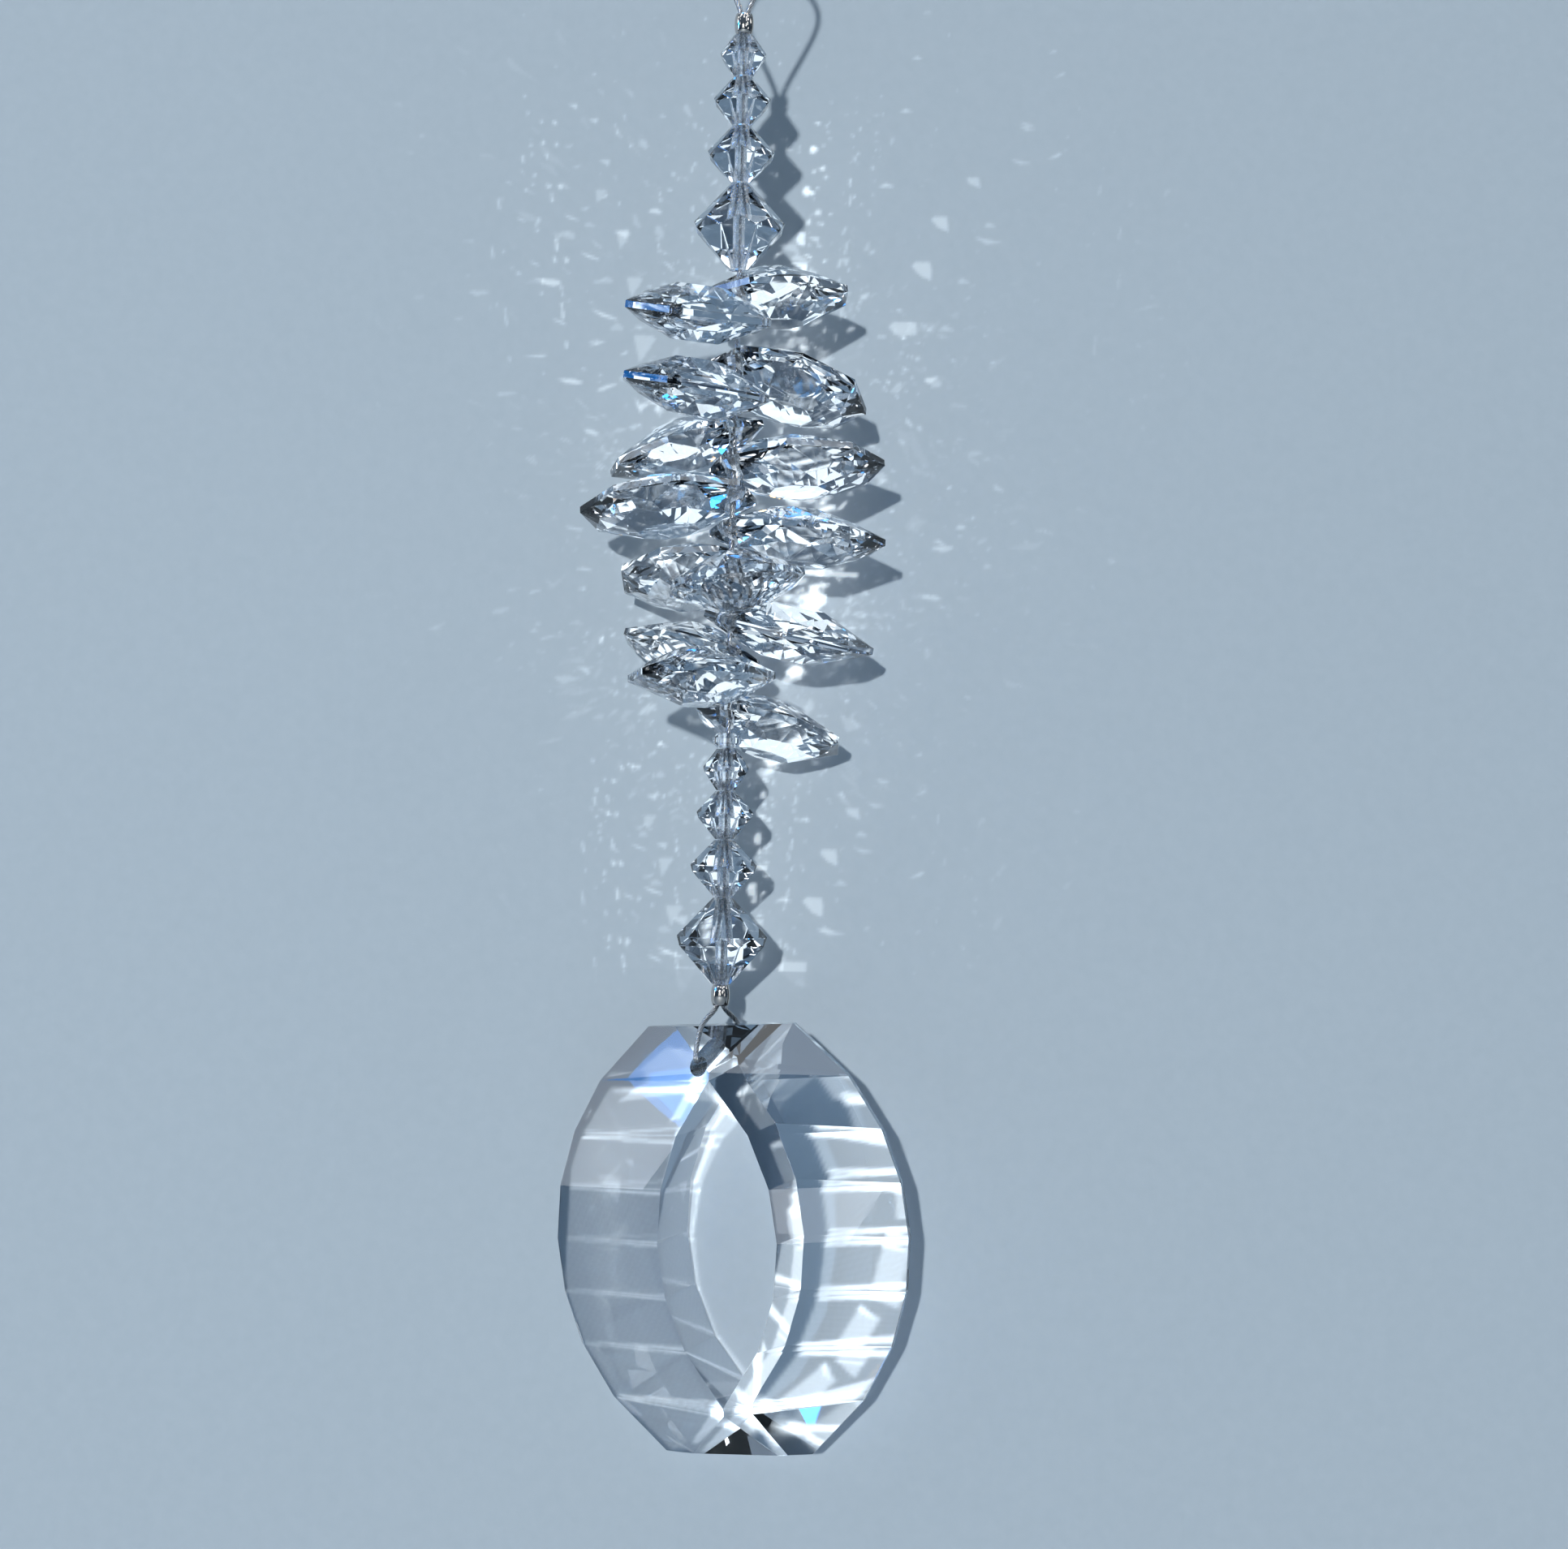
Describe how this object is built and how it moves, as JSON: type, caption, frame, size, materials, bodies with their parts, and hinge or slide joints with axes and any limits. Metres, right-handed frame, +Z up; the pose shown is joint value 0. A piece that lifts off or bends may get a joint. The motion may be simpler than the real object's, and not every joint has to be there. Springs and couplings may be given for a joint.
{
  "type": "crystal suncatcher",
  "caption": "Hanging suncatcher of clear cut-crystal beads and a clustered spray of long octagons above a faceted oval ring with a pointed opening.",
  "frame": {"origin": "inner top of the hanging loop, where a hook carries it", "axes": "+Z up along the string, -Y towards the front, +X to the right seen from the front"},
  "size_m": [0.0323, 0.0271, 0.143],
  "materials": {
    "crystal": "polished and clear, with flat cut facets",
    "wire": "fine steel strands under a clear coating",
    "crimp": "polished silver"
  },
  "bodies": {
    "root": {"beading_wire": "wire", "upper_crimp_bead": "crimp", "lower_crimp_bead": "crimp", "upper_bicone_1": "crystal", "upper_bicone_2": "crystal", "upper_bicone_3": "crystal", "upper_bicone_4": "crystal", "octagon_01": "crystal", "octagon_02": "crystal", "octagon_03": "crystal", "octagon_04": "crystal", "octagon_05": "crystal", "octagon_06": "crystal", "octagon_07": "crystal", "octagon_08": "crystal", "octagon_09": "crystal", "octagon_10": "crystal", "octagon_11": "crystal", "octagon_12": "crystal", "octagon_13": "crystal", "octagon_14": "crystal", "spacer_bead": "crystal", "lower_bicone_1": "crystal", "lower_bicone_2": "crystal", "lower_bicone_3": "crystal", "lower_bicone_4": "crystal", "oval_ring": "crystal"}
  },
  "joints": []
}
